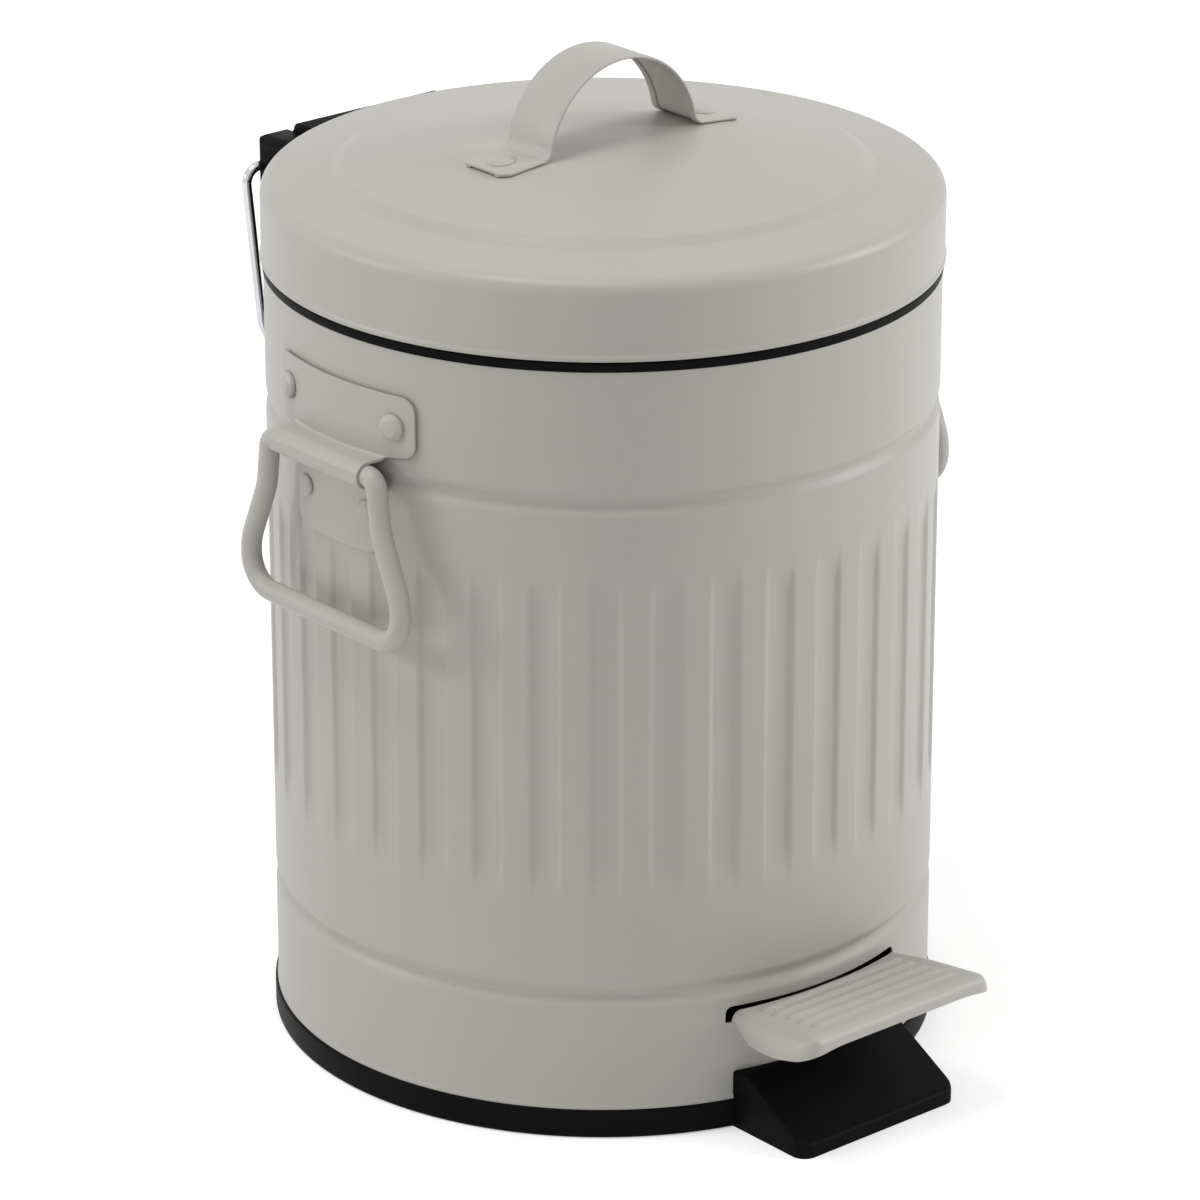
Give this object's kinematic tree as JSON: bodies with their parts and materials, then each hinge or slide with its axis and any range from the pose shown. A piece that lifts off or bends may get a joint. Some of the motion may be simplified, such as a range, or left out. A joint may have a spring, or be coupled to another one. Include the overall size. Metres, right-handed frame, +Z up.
{
  "type": "step pedal bin",
  "caption": "Round step-pedal bin of painted sheet steel with a hinged strap-handled lid, swinging side handles and an inner bucket.",
  "frame": {"origin": "on the axis of the round body, at the floor", "axes": "+Z up, the pedal points along -Y, the lid hinge is at +Y, the side handles are at -X and +X"},
  "size_m": [0.2192, 0.2532, 0.302],
  "materials": {
    "warm_grey_paint": "satin powder coat",
    "black_plastic": "moulded, fine grain",
    "zinc_plated_steel": "bright zinc plate",
    "bright_chrome": "polished",
    "bucket_plastic": "moulded"
  },
  "bodies": {
    "can": {"body_shell": "warm_grey_paint", "base_tray": "black_plastic", "pedal_pin": "zinc_plated_steel", "rim_ring": "black_plastic", "hinge_housing": "black_plastic", "hinge_pin": "zinc_plated_steel", "housing_screws": "zinc_plated_steel", "side_bracket_left": "warm_grey_paint", "side_bracket_right": "warm_grey_paint", "bracket_rivets_upper": "warm_grey_paint", "bracket_rivets_lower": "warm_grey_paint", "inner_bucket": "bucket_plastic", "bucket_bail": "zinc_plated_steel"},
    "lid": {"lid_shell": "warm_grey_paint", "lid_strap": "warm_grey_paint", "strap_rivets": "warm_grey_paint", "lid_hinge": "black_plastic", "hinge_screws": "zinc_plated_steel"},
    "pedal": {"pedal_pad": "warm_grey_paint", "pedal_lever": "zinc_plated_steel", "pedal_screws": "zinc_plated_steel"},
    "rod": {"lift_rod": "zinc_plated_steel", "rod_clip": "zinc_plated_steel"},
    "handle_left": {"side_handle_left": "warm_grey_paint"},
    "handle_right": {"side_handle_right": "warm_grey_paint"},
    "bail": {"carry_bail": "bright_chrome"}
  },
  "joints": [
    {"name": "lid_hinge", "type": "hinge", "parent": "can", "child": "lid", "pos_m": [0, 0.1088, 0.249], "axis": [-1, 0, 0], "range_deg": [0, 75]},
    {"name": "pedal_press", "type": "hinge", "parent": "can", "child": "pedal", "pos_m": [0, -0.04561, 0.0228], "axis": [1, 0, 0], "range_deg": [0, 9.1]},
    {"name": "rod_rise", "type": "slide", "parent": "can", "child": "rod", "axis": [0, 0, 1], "range_m": [0, 0.0217]},
    {"name": "handle_left_swing", "type": "hinge", "parent": "can", "child": "handle_left", "pos_m": [-0.1055, 0, 0.2013], "axis": [0, 1, 0], "range_deg": [-2, 175]},
    {"name": "handle_right_swing", "type": "hinge", "parent": "can", "child": "handle_right", "pos_m": [0.1055, 0, 0.2013], "axis": [0, -1, 0], "range_deg": [-2, 175]},
    {"name": "carry_bail_swing", "type": "hinge", "parent": "can", "child": "bail", "pos_m": [0, 0.116, 0.247], "axis": [1, 0, 0], "range_deg": [-10, 100]}
  ],
  "couplings": [
    {"joint": "pedal_press", "follows": "lid_hinge", "ratio": 0.12},
    {"joint": "rod_rise", "follows": "lid_hinge", "m_per_rad": 0.0165}
  ]
}
